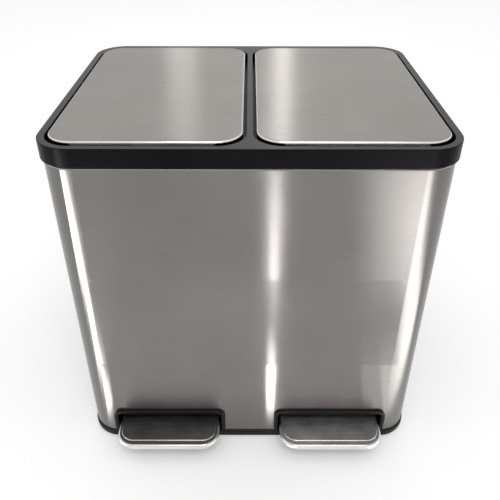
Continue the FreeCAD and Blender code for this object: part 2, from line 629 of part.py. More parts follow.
def make_pedal_lever():
    """Flat tongue under the pedal, and an upright web that runs back under the deck."""
    tongue = block(PEDAL_CENTRE - TONGUE_WIDTH / 2, PEDAL_CENTRE + TONGUE_WIDTH / 2, TONGUE_FRONT,
                   TONGUE_BACK, TONGUE_BOTTOM, TONGUE_TOP, TONGUE_CORNER)
    tongue = tongue.cut([screw_hole(x, y, TONGUE_BOTTOM - PAST, Vector(0, 0, 1),
                                    TONGUE_THICK + 2 * PAST)
                         for x, y in PEDAL_SCREWS])
    half = LEVER_HEIGHT / 2
    boss = across(WEB_X, WEB_X + LEVER_THICK, PIVOT_Y, PIVOT_HEIGHT, half + BOSS_MARGIN)
    front_web = block(WEB_X, WEB_X + LEVER_THICK, WEB_FRONT, PIVOT_Y, TONGUE_BOTTOM,
                      PIVOT_HEIGHT + half)
    span = LEVER_REACH / math.cos(LEVER_TILT)
    drift = span - LEVER_REACH
    rear_web = block(WEB_X, WEB_X + LEVER_THICK, PIVOT_Y, PIVOT_Y + span, PIVOT_HEIGHT - half,
                     PIVOT_HEIGHT + half)
    rear_end = across(WEB_X, WEB_X + LEVER_THICK, PIVOT_Y + span, PIVOT_HEIGHT, half)
    slot_radius = FOOT_PIN_RADIUS + CLEARANCE
    slot_ends = (PIVOT_Y + LEVER_REACH - drift / 2, PIVOT_Y + span + drift / 2)
    slot = [across(WEB_X - PAST, WEB_X + LEVER_THICK + PAST, y, PIVOT_HEIGHT, slot_radius)
            for y in slot_ends]
    slot.append(block(WEB_X - PAST, WEB_X + LEVER_THICK + PAST, *slot_ends, PIVOT_HEIGHT - slot_radius,
                      PIVOT_HEIGHT + slot_radius))
    rear = joined(rear_web, rear_end).cut(slot)
    rear.rotate(Vector(0, PIVOT_Y, PIVOT_HEIGHT), Vector(1, 0, 0), -math.degrees(LEVER_TILT))
    bore = across(WEB_X - PAST, WEB_X + LEVER_THICK + PAST, PIVOT_Y, PIVOT_HEIGHT,
                  AXLE_RADIUS + RUNNING_FIT)
    return joined(tongue, front_web, boss, rear).cut(bore)


# ---------------------------------------------------------------- push rods
HEAD_WALL = 2.6            # round the slot for the crank pin
HEAD_CORNER = 2.5
HEAD_HALF = CRANK_SHIFT / 2 + CRANK_PIN_RADIUS + SLOT_PLAY + HEAD_WALL
HEAD_RISE = CRANK_PIN_RADIUS + SLOT_PLAY + HEAD_WALL
TAB_Z = 200.0
TAB_THICK = 8.0
TAB_BOSS_WALL = 3.0
FOOT_PIN_END = 1.5


def make_push_rod():
    """Flat bar with a slotted head for the lid's crank pin, and a boss for the damper."""
    x0, x1 = PEDAL_CENTRE - ROD_THICK / 2, PEDAL_CENTRE + ROD_THICK / 2
    foot = FOOT_PIN_Z - ROD_WIDTH / 2
    bar = block(x0, x1, ROD_Y - ROD_WIDTH / 2, ROD_Y + ROD_WIDTH / 2, foot, CRANK_Z)
    head = Part.makeBox(ROD_THICK, 2 * HEAD_HALF, 2 * HEAD_RISE,
                        Vector(x0, ROD_Y - HEAD_HALF, CRANK_Z - HEAD_RISE))
    head = rounded(head, HEAD_CORNER, lambda box: box.XLength > ROD_THICK / 2)
    slot_radius = CRANK_PIN_RADIUS + SLOT_PLAY
    slot_ends = (ROD_Y - CRANK_SHIFT / 2, ROD_Y + CRANK_SHIFT / 2)
    slot = [across(x0 - PAST, x1 + PAST, y, CRANK_Z, slot_radius) for y in slot_ends]
    slot.append(block(x0 - PAST, x1 + PAST, *slot_ends, CRANK_Z - slot_radius, CRANK_Z + slot_radius))
    arm = block(x0, x1, ROD_Y, DAMPER_Y, TAB_Z - TAB_THICK / 2, TAB_Z + TAB_THICK / 2)
    boss = upright(PEDAL_CENTRE, DAMPER_Y, TAB_Z - TAB_THICK / 2, TAB_Z + TAB_THICK / 2,
                   DAMPER_ROD_RADIUS + TAB_BOSS_WALL)
    rod = joined(bar, head, arm, boss)
    return rod.cut(slot + [
        upright(PEDAL_CENTRE, DAMPER_Y, TAB_Z - TAB_THICK, TAB_Z + TAB_THICK,
                DAMPER_ROD_RADIUS + SCREW_FIT),
        across(x0 - PAST, x1 + PAST, ROD_Y, FOOT_PIN_Z, FOOT_PIN_RADIUS + RUNNING_FIT)])


def make_rod_foot_pin():
    """Rivet through the rod's foot and the lever's slot."""
    return across(PEDAL_CENTRE - ROD_THICK / 2 - FOOT_PIN_END, WEB_X + LEVER_THICK + FOOT_PIN_END,
                  ROD_Y, FOOT_PIN_Z, FOOT_PIN_RADIUS)


CHANNEL_HALF = 11.0
CHANNEL_WALL = 2.0
CHANNEL_GAP = 2.0          # between the channel and the hinge pocket
CHANNEL_TOP = POCKET_BOTTOM - CHANNEL_GAP
CHANNEL_FOOT = 7.0         # foot past the channel's sides
CHANNEL_FOOT_THICK = 3.0
GUIDE_THICK = 4.0
GUIDE_ABOVE_DECK = 37.0
GUIDE_BELOW_TOP = 32.0
GUIDES = (DECK_TOP + GUIDE_ABOVE_DECK, CHANNEL_TOP - GUIDE_BELOW_TOP)
CRADLES = (130.0, 170.0)
CRADLE_THICK = 3.0
CRADLE_WALL = 3.0
CRADLE_CORNER = 6.0


def make_rod_channel():
    """Channel that guides the push rod, with a foot on the deck and two cradles for the damper."""
    x0, x1 = PEDAL_CENTRE - CHANNEL_HALF, PEDAL_CENTRE + CHANNEL_HALF
    y0, y1 = ROD_Y - CHANNEL_HALF, ROD_Y + CHANNEL_HALF
    channel = block(x0, x1, y0, y1, DECK_TOP, CHANNEL_TOP)
    foot = block(x0 - CHANNEL_FOOT, x1 + CHANNEL_FOOT, y0, y1, DECK_TOP,
                 DECK_TOP + CHANNEL_FOOT_THICK, CHANNEL_WALL, CHANNEL_WALL)
    cradle_back = DAMPER_Y + DAMPER_RADIUS + CRADLE_WALL
    cradles = [block(x0, x1, y1 - CHANNEL_WALL, cradle_back, z, z + CRADLE_THICK, 0, CRADLE_CORNER)
               for z in CRADLES]
    channel = joined(channel, foot, *cradles)
    hollow = block(x0 + CHANNEL_WALL, x1 - CHANNEL_WALL, y0 + CHANNEL_WALL, y1 + PAST, DECK_TOP - PAST,
                   CHANNEL_TOP + PAST)
    keep = [block(x0, x1, y1 - CHANNEL_WALL, y1 + 2 * PAST, z, z + CRADLE_THICK) for z in CRADLES]
    keep += [block(x0, x1, y0, y1 - CHANNEL_WALL, z, z + GUIDE_THICK) for z in GUIDES]
    channel = channel.cut(hollow.cut(keep))
    rod_way = block(PEDAL_CENTRE - ROD_THICK / 2 - CLEARANCE, PEDAL_CENTRE + ROD_THICK / 2 + CLEARANCE,
                    ROD_Y - ROD_WIDTH / 2 - CLEARANCE, ROD_Y + ROD_WIDTH / 2 + CLEARANCE,
                    DECK_TOP - PAST, CHANNEL_TOP + PAST)
    damper_way = upright(PEDAL_CENTRE, DAMPER_Y, CRADLES[0] - PAST, CRADLES[1] + CRADLE_THICK + PAST,
                         DAMPER_RADIUS + RUNNING_FIT)
    return channel.cut([rod_way, damper_way])


# ---------------------------------------------------------------- soft-close dampers
DAMPER_BELOW = 10.0        # damper's end below its lower cradle
DAMPER_HEADROOM = 8.0      # between the damper and the rod's tab
DAMPER_BOTTOM = CRADLES[0] - DAMPER_BELOW
DAMPER_TOP = TAB_Z - TAB_THICK / 2 - DAMPER_HEADROOM
PISTON_START = 3.0         # piston above the bore's end
DAMPER_LIP = 1.5
DAMPER_LIP_THICK = 2.0
PISTON_THICK = 6.0
DAMPER_CAP = 3.0


def make_damper_body():
    body = upright(PEDAL_CENTRE, DAMPER_Y, DAMPER_BOTTOM, DAMPER_TOP, DAMPER_RADIUS)
    collar_z = CRADLES[0] + CRADLE_THICK
    stop = upright(PEDAL_CENTRE, DAMPER_Y, collar_z, collar_z + DAMPER_LIP_THICK,
                   DAMPER_RADIUS + DAMPER_LIP)
    body = joined(body, stop)
    bore = upright(PEDAL_CENTRE, DAMPER_Y, DAMPER_BOTTOM + DAMPER_CAP, DAMPER_TOP - DAMPER_CAP,
                   DAMPER_BORE)
    gland = upright(PEDAL_CENTRE, DAMPER_Y, DAMPER_TOP - DAMPER_CAP - PAST, DAMPER_TOP + PAST,
                    DAMPER_ROD_RADIUS + 2 * SCREW_FIT)
    return body.cut([bore, gland])


def make_damper_rod():
    """Piston and rod, hooked in the push rod's boss between a shoulder and a head."""
    piston_z = DAMPER_BOTTOM + DAMPER_CAP + PISTON_START
    piston = upright(PEDAL_CENTRE, DAMPER_Y, piston_z, piston_z + PISTON_THICK,
                     DAMPER_BORE - 2 * SCREW_FIT)
    boss_bottom, boss_top = TAB_Z - TAB_THICK / 2, TAB_Z + TAB_THICK / 2
    stem = upright(PEDAL_CENTRE, DAMPER_Y, piston_z, boss_top + SCREW_FIT, DAMPER_ROD_RADIUS)
    shoulder = upright(PEDAL_CENTRE, DAMPER_Y, boss_bottom - SCREW_FIT - DAMPER_LIP_THICK,
                       boss_bottom - SCREW_FIT, DAMPER_ROD_RADIUS + DAMPER_LIP)
    head = upright(PEDAL_CENTRE, DAMPER_Y, boss_top + SCREW_FIT, boss_top + SCREW_FIT + DAMPER_LIP_THICK,
                   DAMPER_ROD_RADIUS + DAMPER_LIP)
    return joined(piston, stem, shoulder, head)


# ---------------------------------------------------------------- lids
def lid_block(inset, z0, z1):
    """A lid's plan, drawn in by an inset."""
    corner = LID_CORNER - inset
    return block(LID_LEFT + inset, LID_RIGHT - inset, LID_FRONT + inset, LID_BACK - inset, z0, z1,
                 corner, corner)


def make_lid_panel():
    outside = rounded(lid_block(0, LID_BOTTOM, LID_TOP), LID_FOLD_ROUND, level(LID_TOP))
    under = LID_TOP - LID_SHEET
    inside = rounded(lid_block(LID_SHEET, LID_BOTTOM - PAST, under), LID_FOLD_ROUND - LID_SHEET,
                     level(under))
    return outside.cut(inside)


ARM_THICK = 4.0
ARM_GAP = 1.0              # between a liner arm and the collar's cheek
ARMS = (CHEEKS[0] + CHEEK_THICK + ARM_GAP, CHEEKS[1] - ARM_GAP - ARM_THICK)
ARM_HALF = 7.0
EAR_GAP = ROD_THICK / 2 + CLEARANCE
PAD_RADIUS = 3.0
PAD_GAP = 0.4              # over the bucket's flange
PAD_FROM_LIP = 0.2
PAD_ROUND = 0.8
EAR_ROOT = 6.0             # ear's widening towards the liner
LINER_SHORT = 0.4          # liner's edge above the fold's
RIB_THICK = 1.5
RIB_OFF = 45.0             # long ribs from the lid's middle
RIB_STOP = 8.0             # long ribs end ahead of the ears
PAD_Y = LID_FRONT + LID_SHEET + LINER_GAP + LINER_PLATE + PAD_RADIUS + PAD_FROM_LIP
PADS = [(x, PAD_Y)
        for x in (LID_LEFT + LID_CORNER + PAD_RADIUS, LID_RIGHT - LID_CORNER - PAD_RADIUS)]


def crank_ear(x):
    """Plate from the liner down to the crank pin, whose back edge passes in front of the hinge pin."""
    plate = side_plate(x, x + EAR_THICK, [
        (CRANK_Y - EAR_RADIUS, CRANK_Z), (CRANK_Y - EAR_RADIUS - EAR_ROOT, LINER_UNDER + LAP),
        (HINGE_Y - HINGE_PIN_RADIUS, LINER_UNDER + LAP), (CRANK_Y + EAR_RADIUS, CRANK_Z)])
    ear = joined(plate, across(x, x + EAR_THICK, CRANK_Y, CRANK_Z, EAR_RADIUS))
    return ear.cut(across(x - PAST, x + EAR_THICK + PAST, CRANK_Y, CRANK_Z, CRANK_PIN_RADIUS + RUNNING_FIT))


def make_lid_liner():
    """Moulded underside, with hinge arms beside the cheeks and ears for the crank pin."""
    inset = LID_SHEET + LINER_GAP
    bottom = LID_BOTTOM + LINER_SHORT
    outside = rounded(lid_block(inset, bottom, LINER_TOP), LID_FOLD_ROUND - LID_SHEET,
                      level(LINER_TOP))
    liner = outside.cut(lid_block(inset + LINER_PLATE, bottom - PAST, LINER_UNDER))
    middle = (LID_LEFT + LID_RIGHT) / 2
    length = LID_BACK - LID_FRONT
    edge = inset + LINER_PLATE / 2
    ribs = [block(LID_LEFT + edge, LID_RIGHT - edge, y, y + RIB_THICK, LINER_UNDER - LINER_RIB,
                  LINER_UNDER + LAP)
            for y in (LID_FRONT + length * part / 4 for part in (1, 2, 3))]
    ribs += [block(x, x + RIB_THICK, LID_FRONT + edge, HINGE_Y - CRANK_RADIUS - EAR_RADIUS - RIB_STOP,
                   LINER_UNDER - LINER_RIB, LINER_UNDER + LAP)
             for x in (middle - RIB_OFF, middle + RIB_OFF)]
    arms = []
    for x in ARMS:
        arm = block(x, x + ARM_THICK, HINGE_Y - ARM_HALF, HINGE_Y + ARM_HALF, HINGE_Z,
                    LINER_UNDER + LAP)
        arm = joined(arm, across(x, x + ARM_THICK, HINGE_Y, HINGE_Z, KNUCKLE_RADIUS))
        arms.append(arm.cut(across(x - PAST, x + ARM_THICK + PAST, HINGE_Y, HINGE_Z,
                                   HINGE_PIN_RADIUS + RUNNING_FIT)))
    ears = [crank_ear(x) for x in (PEDAL_CENTRE - EAR_GAP - EAR_THICK, PEDAL_CENTRE + EAR_GAP)]
    return joined(liner, *ribs, *arms, *ears)


PIN_OVERHANG = 2.0         # hinge pin past its cheeks
CRANK_PIN_OVERHANG = 1.0   # crank pin past its ears


def make_lid_hinge_pin():
    end = CHEEK_FROM_LID_EDGE - PIN_OVERHANG
    return across(LID_LEFT + end, LID_RIGHT - end, HINGE_Y, HINGE_Z, HINGE_PIN_RADIUS)


def make_crank_pin():
    end = EAR_GAP + EAR_THICK + CRANK_PIN_OVERHANG
    return across(PEDAL_CENTRE - end, PEDAL_CENTRE + end, CRANK_Y, CRANK_Z, CRANK_PIN_RADIUS)


def make_lid_pads():
    """Rubber pads under the liner that land on the bucket's flange."""
    bottom = LEDGE_TOP + FLANGE_THICK + PAD_GAP
    return [rounded(upright(x, y, bottom, LINER_UNDER, PAD_RADIUS), PAD_ROUND, level(bottom))
            for x, y in PADS]


# ---------------------------------------------------------------- inner buckets and their handles
LUG_Y = (LEDGE_FRONT + LEDGE_BACK) / 2
FLANGE_TOP = LEDGE_TOP + FLANGE_THICK
EYE_THICK = 2.0
EYE_RISE = 2.6             # bail wire's axis above the flange
EYE_FROM_LEDGE = 1.2       # eye outside the bucket's mouth
EYES = (LEDGE_LEFT - EYE_FROM_LEDGE + BUCKET_FIT, LEDGE_RIGHT + EYE_FROM_LEDGE - BUCKET_FIT)
BAIL_INNER_BEND = 0.6      # inside the wire's bend beside an eye
BAIL_BEND = BAIL_RADIUS + BAIL_INNER_BEND
BAIL_EYE_GAP = 0.35
BAIL_OUT = EYE_THICK / 2 + BAIL_BEND + BAIL_EYE_GAP
EYE_WALL = 1.6
FLANGE_REAR_CORNER = 6.0
BAIL_CORNER = 20.0
BAIL_FROM_BACK = 3.0


def bucket_outline(inset, z):
    return outline(LEDGE_LEFT + inset, LEDGE_RIGHT - inset, LEDGE_FRONT + inset,
                   LEDGE_BACK - inset, z, BUCKET_CORNER - inset)


def make_bucket():
    """Tapered bucket that hangs by its flange on the collar's ledge, with an eye on each side."""
    floor = DECK_TOP + BUCKET_FLOAT
    outside = Part.makeLoft([bucket_outline(BUCKET_FIT, LEDGE_TOP),
                             bucket_outline(BUCKET_FIT + BUCKET_TAPER, floor)], True, True)
    flange = block(LEDGE_LEFT - FLANGE_OVERLAP, LEDGE_RIGHT + FLANGE_OVERLAP,
                   LEDGE_FRONT - FLANGE_OVERLAP, LEDGE_BACK + FLANGE_OVERLAP - CLEARANCE, LEDGE_TOP,
                   FLANGE_TOP, LEDGE_CORNER + FLANGE_OVERLAP, FLANGE_REAR_CORNER)
    inner = BUCKET_FIT + BUCKET_WALL
    inside = Part.makeLoft([bucket_outline(inner, FLANGE_TOP + PAST),
                            bucket_outline(inner + BUCKET_TAPER, floor + BUCKET_WALL)], True, True)
    bucket = joined(outside, flange).cut(inside)
    eye_z = FLANGE_TOP + EYE_RISE
    eye_radius = BAIL_RADIUS + EYE_WALL
    eyes = []
    for x in EYES:
        eye = block(x - EYE_THICK / 2, x + EYE_THICK / 2, LUG_Y - eye_radius, LUG_Y + eye_radius,
                    FLANGE_TOP - LAP, eye_z)
        eyes.append(joined(eye, across(x - EYE_THICK / 2, x + EYE_THICK / 2, LUG_Y, eye_z,
                                       eye_radius)))
    bores = [across(x - EYE_THICK, x + EYE_THICK, LUG_Y, eye_z, BAIL_RADIUS + 2 * RUNNING_FIT)
             for x in EYES]
    return joined(bucket, *eyes).cut(bores)


def make_bail():
    """Wire handle: two short ends through the eyes, arms back along the flange, one cross run."""
    z = FLANGE_TOP + EYE_RISE
    left, right = EYES[0] - BAIL_OUT, EYES[1] + BAIL_OUT
    back = LEDGE_BACK + BAIL_FROM_BACK
    bend = BAIL_BEND
    diagonal = BAIL_CORNER * (1 - math.sqrt(0.5))
    small = bend * (1 - math.sqrt(0.5))
    inner_left, inner_right = EYES[0] + EYE_THICK, EYES[1] - EYE_THICK
    left_bend = Part.Arc(Vector(left + bend, LUG_Y, z), Vector(left + small, LUG_Y + small, z),
                         Vector(left, LUG_Y + bend, z))
    left_corner = Part.Arc(Vector(left, back - BAIL_CORNER, z),
                           Vector(left + diagonal, back - diagonal, z),
                           Vector(left + BAIL_CORNER, back, z))
    right_corner = Part.Arc(Vector(right - BAIL_CORNER, back, z),
                            Vector(right - diagonal, back - diagonal, z),
                            Vector(right, back - BAIL_CORNER, z))
    right_bend = Part.Arc(Vector(right, LUG_Y + bend, z), Vector(right - small, LUG_Y + small, z),
                          Vector(right - bend, LUG_Y, z))
    path = Part.Wire([
        Part.LineSegment(Vector(inner_left, LUG_Y, z), Vector(left + bend, LUG_Y, z)).toShape(),
        left_bend.toShape(),
        Part.LineSegment(Vector(left, LUG_Y + bend, z), Vector(left, back - BAIL_CORNER, z)).toShape(),
        left_corner.toShape(),
        Part.LineSegment(Vector(left + BAIL_CORNER, back, z),
                         Vector(right - BAIL_CORNER, back, z)).toShape(),
        right_corner.toShape(),
        Part.LineSegment(Vector(right, back - BAIL_CORNER, z),
                         Vector(right, LUG_Y + bend, z)).toShape(),
        right_bend.toShape(),
        Part.LineSegment(Vector(right - bend, LUG_Y, z), Vector(inner_right, LUG_Y, z)).toShape()])
    section = Part.Wire(Part.makeCircle(BAIL_RADIUS, Vector(inner_left, LUG_Y, z), Vector(1, 0, 0)))
    return path.makePipeShell([section], True, False)


# ---------------------------------------------------------------- all the pieces
def main():
    os.makedirs("parts", exist_ok=True)
    save("body_shell", make_body_shell())
    save("top_collar", make_top_collar())
    save("collar_screws", *make_collar_screws())
    save("base_tray", make_base_tray())
    save("feet", *make_feet())
    save("base_screws", *make_base_screws())
    save("deck", make_deck())
    save("deck_screws", *make_deck_screws())
    save_pair("pedal_surround", make_pedal_surround())
    save_pair("lever_axle", make_lever_axle())
    save_pair("lever_bushes", *make_lever_bushes())
    save_pair("axle_clips", *make_axle_clips())
    save_pair("rod_channel", make_rod_channel())
    save_pair("damper_body", make_damper_body())
    save_pair("lid_hinge_pin", make_lid_hinge_pin())
    save_pair("bucket", make_bucket())
    save_pair("bucket_handle", make_bail())
    save_pair("pedal", make_pedal())
    save_pair("pedal_core", make_pedal_core())
    save_pair("pedal_screws", *make_pedal_screws())
    save_pair("pedal_lever", make_pedal_lever())
    save_pair("push_rod", make_push_rod())
    save_pair("rod_foot_pin", make_rod_foot_pin())
    save_pair("damper_rod", make_damper_rod())
    save_pair("lid_panel", make_lid_panel())
    save_pair("lid_liner", make_lid_liner())
    save_pair("crank_pin", make_crank_pin())
    save_pair("lid_pads", *make_lid_pads())
    lid_swing = math.radians(LID_OPENING)
    print(f"hinge axis y {HINGE_Y:.3f} z {HINGE_Z:.3f}, lever axle y {PIVOT_Y:.3f} z {PIVOT_HEIGHT}")
    print(f"rod stroke {STROKE:.3f} mm, {STROKE / 1000 / lid_swing:.7f} m per radian of lid")
    print(f"lever swing {2 * math.degrees(LEVER_TILT):.4f} degrees, "
          f"{2 * LEVER_TILT / lid_swing:.7f} per unit of lid")


main()
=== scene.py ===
import math

import bmesh
import bpy
from mathutils import Euler, Matrix, Vector

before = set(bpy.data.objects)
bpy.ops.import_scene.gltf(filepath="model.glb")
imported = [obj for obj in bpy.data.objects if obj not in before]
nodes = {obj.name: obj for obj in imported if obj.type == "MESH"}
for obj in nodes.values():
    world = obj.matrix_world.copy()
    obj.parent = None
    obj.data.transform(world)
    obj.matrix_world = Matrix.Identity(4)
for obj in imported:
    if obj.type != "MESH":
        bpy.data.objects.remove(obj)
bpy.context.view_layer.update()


# ---- The camera
# It stands ahead of the bin at chest height and looks down at it, close enough for the sides
# to run together towards the floor.
CAMERA_AT = (0.00025, -0.64603, 0.63224)
CAMERA_DOWN = 34.31
CAMERA_ROLL = 0.09
CAMERA_LENS = 42.33
CAMERA_SENSOR = 36.0
CAMERA_NEAREST = 0.01
camera_data = bpy.data.cameras.new("camera")
camera_data.lens = CAMERA_LENS
camera_data.sensor_width = CAMERA_SENSOR
camera_data.clip_start = CAMERA_NEAREST
camera = bpy.data.objects.new("camera", camera_data)
tilt = Euler((math.radians(90 - CAMERA_DOWN), 0, 0)).to_matrix()
roll = Matrix.Rotation(math.radians(CAMERA_ROLL), 3, "Z")
camera.matrix_world = Matrix.Translation(CAMERA_AT) @ (tilt @ roll).to_4x4()
bpy.context.scene.collection.objects.link(camera)
bpy.context.scene.camera = camera
bpy.context.scene.view_settings.view_transform = "Standard"


# ---- The floor and the room
# White paper on the floor and an even white all round. What the eye and the steel see of both is
# whiter than the light that they give, so the paper keeps the bin's shadow.
FLOOR_HALF = 8.0
FLOOR_WHITE = (0.94, 0.94, 0.94, 1)
FLOOR_ROUGH = 0.9
FLOOR_GLOSS = 0.1
ROOM_LEVEL = 0.78
PAPER_LIFT = 0.20          # the white that the paper shows over what the room's light gives it


def add_node(tree, kind, **settings):
    node = tree.nodes.new(kind)
    for name, value in settings.items():
        setattr(node, name, value)
    return node


def new_material(name):
    material = bpy.data.materials.new(name)
    material.use_nodes = True
    return material, material.node_tree, material.node_tree.nodes["Principled BSDF"]


def spread(tree, value, low, high, from_low=0.3, from_high=0.7):
    """The value, taken from one range to another. Noise lies mostly between 0.3 and 0.7."""
    node = add_node(tree, "ShaderNodeMapRange")
    ends = {"From Min": from_low, "From Max": from_high, "To Min": low, "To Max": high}
    for socket, number in ends.items():
        node.inputs[socket].default_value = number
    tree.links.new(value, node.inputs["Value"])
    return node.outputs["Result"]


def arithmetic(tree, operation, first, second):
    """A Math node of two values, each a socket or a number."""
    node = add_node(tree, "ShaderNodeMath", operation=operation)
    for socket, value in zip(node.inputs, (first, second)):
        if isinstance(value, (int, float)):
            socket.default_value = value
        else:
            tree.links.new(value, socket)
    return node.outputs[0]


def seen_or_mirrored(tree):
    """1 for what the eye sees, directly or in metal or glass, and 0 for the light that falls on things."""
    path = add_node(tree, "ShaderNodeLightPath")
    direct = arithmetic(tree, "MAXIMUM", path.outputs["Is Camera Ray"], path.outputs["Is Glossy Ray"])
    return arithmetic(tree, "MAXIMUM", direct, path.outputs["Is Transmission Ray"])


def sheet_object(name, corners, material):
    """One flat face as an object of its own in the scene."""
    shape = bmesh.new()
    shape.faces.new([shape.verts.new(corner) for corner in corners])
    mesh = bpy.data.meshes.new(name)
    shape.to_mesh(mesh)
    shape.free()
    mesh.materials.append(material)
    sheet = bpy.data.objects.new(name, mesh)
    bpy.context.scene.collection.objects.link(sheet)


paper, paper_tree, paper_shader = new_material("white_paper")
paper_shader.inputs["Base Color"].default_value = FLOOR_WHITE
paper_shader.inputs["Roughness"].default_value = FLOOR_ROUGH
paper_shader.inputs["Specular IOR Level"].default_value = FLOOR_GLOSS
paper_shader.inputs["Emission Color"].default_value = (1, 1, 1, 1)
paper_tree.links.new(arithmetic(paper_tree, "MULTIPLY", seen_or_mirrored(paper_tree), PAPER_LIFT),
                     paper_shader.inputs["Emission Strength"])
sheet_object("floor", [(-FLOOR_HALF, -FLOOR_HALF, 0), (FLOOR_HALF, -FLOOR_HALF, 0),
                       (FLOOR_HALF, FLOOR_HALF, 0), (-FLOOR_HALF, FLOOR_HALF, 0)], paper)

room = bpy.data.worlds.new("room")
bpy.context.scene.world = room
room.use_nodes = True
room_light = room.node_tree.nodes["Background"]
room_light.inputs["Color"].default_value = (1, 1, 1, 1)
room.node_tree.links.new(spread(room.node_tree, seen_or_mirrored(room.node_tree), ROOM_LEVEL, 1.0, 0, 1),
                         room_light.inputs["Strength"])


# ---- Studio lamps
# A broad soft lamp over the camera, flat light panels laid on the floor in front of the bin, and
# two lamps behind it. The brushed steel draws the panels out up its sides, and the lids draw the
# lamps behind them towards the front.
PANEL_HEIGHT = 0.004
FRONT_NEAR, FRONT_FAR = (-0.02, -0.20), (-0.02, -0.50)
FRONT_WIDTH, FRONT_LEVEL = 0.56, 0.22
STREAK_NEAR, STREAK_FAR = (0.028, -0.20), (0.063, -0.95)
STREAK_WIDTH = 0.010
STREAK_LEVEL = 18.0
RIGHT_NEAR, RIGHT_FAR = (0.152, -0.18), (0.272, -1.02)
RIGHT_PANELS = 12              # side by side, each brighter than the one on its left
RIGHT_WIDTH = 0.028
RIGHT_LEVEL = 7.2
CORNER_LEFT = Vector((-0.176, -0.158))
# Each left panel's start and end from the corner, and its turn to the left in degrees
LEFT_PANELS = ((0.04, 0.14, 47.5), (0.14, 0.38, 48.5), (0.38, 0.95, 50.0))
LEFT_SPREAD = 0.36             # a panel's width, as a share of its distance from the corner
LEFT_LEVEL = 13.0
LIDS_MIDDLE = (0, 0, 0.41)
KEY_AIM = (0, -0.1, 0.2)
KEY_AT, KEY_SIZE, KEY_WATTS = (0.1, -1.2, 1.9), (0.9, 0.6), 9.0
LID_STREAK_AT, LID_STREAK_SIZE, LID_STREAK_WATTS = (0.150, 2.0, 1.45), (0.07, 0.7), 1.1
LID_SPOT_AT, LID_SPOT_SIZE, LID_SPOT_WATTS = (-0.315, 2.1, 1.00), (0.16, 0.16), 0.55


def area_lamp(name, width, height, watts, shape="RECTANGLE"):
    """An area lamp that the camera itself doesn't see."""
    data = bpy.data.lights.new(name, "AREA")
    data.shape = shape
    data.size, data.size_y = width, height
    data.energy = watts
    lamp = bpy.data.objects.new(name, data)
    lamp.visible_camera = False
    bpy.context.scene.collection.objects.link(lamp)
    return lamp


def soft_lamp(name, place, aim, *size_and_power):
    """A lamp that hangs or stands at a place and shines at an aim."""
    lamp = area_lamp(name, *size_and_power)
    lamp.location = place
    lamp.rotation_euler = (Vector(aim) - Vector(place)).to_track_quat("-Z", "Y").to_euler()


def floor_panel(name, near, far, width, level):
    """A light panel that lies face up on the floor along the line from near to far. At a level
    of 1 it is as bright as white paper."""
    line = Vector(far) - Vector(near)
    middle = (Vector(near) + Vector(far)) / 2
    lamp = area_lamp(name, width, line.length, level * math.pi * width * line.length)
    lamp.location = (middle.x, middle.y, PANEL_HEIGHT)
    lamp.rotation_euler = (math.pi, 0, math.atan2(-line.x, line.y))


soft_lamp("key_over_camera", KEY_AT, KEY_AIM, *KEY_SIZE, KEY_WATTS)
soft_lamp("lid_streak_lamp", LID_STREAK_AT, LIDS_MIDDLE, *LID_STREAK_SIZE, LID_STREAK_WATTS)
soft_lamp("lid_spot_lamp", LID_SPOT_AT, LIDS_MIDDLE, *LID_SPOT_SIZE, LID_SPOT_WATTS, "ELLIPSE")
floor_panel("front_panel", FRONT_NEAR, FRONT_FAR, FRONT_WIDTH, FRONT_LEVEL)
floor_panel("streak_panel", STREAK_NEAR, STREAK_FAR, STREAK_WIDTH, STREAK_LEVEL)
for number in range(RIGHT_PANELS):
    share = (number + 0.5) / RIGHT_PANELS
    across = Vector(((number + 0.5) * RIGHT_WIDTH, 0))
    floor_panel("right_panel", Vector(RIGHT_NEAR) + across, Vector(RIGHT_FAR) + across, RIGHT_WIDTH,
                RIGHT_LEVEL * (1 - (1 - share) ** 2))
for near, far, turn in LEFT_PANELS:
    way = Vector((-math.sin(math.radians(turn)), -math.cos(math.radians(turn))))
    floor_panel("left_panel", CORNER_LEFT + near * way, CORNER_LEFT + far * way,
                LEFT_SPREAD * (near + far) / 2, LEFT_LEVEL)


# ---- Body shell
# One stainless sheet wrapped round the bin, with its edges curled in under the rim and over the
# base. The curled edges are painted a much lighter steel, a painted highlight. It is brushed along
# its length, so light spreads up and down it and stays narrow sideways, and the sheet isn't quite
# flat, so what it mirrors wavers a little.
SHELL_STEEL = (0.157, 0.149, 0.142, 1)
SHELL_STEEL_LIGHT = (0.205, 0.195, 0.187, 1)
# A much lighter steel painted on the curled edges: a painted highlight.
SHELL_CURL_PAINTED_HIGHLIGHT = (0.62, 0.60, 0.58, 1)
SHELL_GRAIN = (0.25, 0.25, 18.0)
SHELL_ROUGH = (0.165, 0.205)
SHELL_ANISOTROPY = 1.0
SHELL_WAVE = 0.0009
TOP_CURL_HIGHLIGHT_FACING = (0.25, 0.6)       # how far up the sheet faces where its top edge curls in and takes the painted highlight
FOOT_CURL_HIGHLIGHT_FACING = (-0.25, -0.6)
UPRIGHT = (0, 0, 1)
EVEN = (1, 1, 1)
GRAIN_SCALE = 60.0
SMUDGE_SCALE = 9.0
SMUDGE_ROUGH = 0.02
HALF_TONE = 0.5                # brush lines and smudges each give half of a tone
WAVE_SCALE = 4.0
BRUSH_DEPTH = 0.00002


def object_noise(tree, stretch, scale, detail=4.0, roughness=0.55, shift=(0, 0, 0)):
    """Noise over the piece's own coordinates, squeezed or stretched along its axes."""
    place = add_node(tree, "ShaderNodeTexCoord")
    mapping = add_node(tree, "ShaderNodeMapping")
    mapping.inputs["Location"].default_value = shift
    mapping.inputs["Scale"].default_value = stretch
    noise = add_node(tree, "ShaderNodeTexNoise")
    noise.inputs["Scale"].default_value = scale
    noise.inputs["Detail"].default_value = detail
    noise.inputs["Roughness"].default_value = roughness
    tree.links.new(place.outputs["Object"], mapping.inputs["Vector"])
    tree.links.new(mapping.outputs["Vector"], noise.inputs["Vector"])
    return noise.outputs["Fac"]


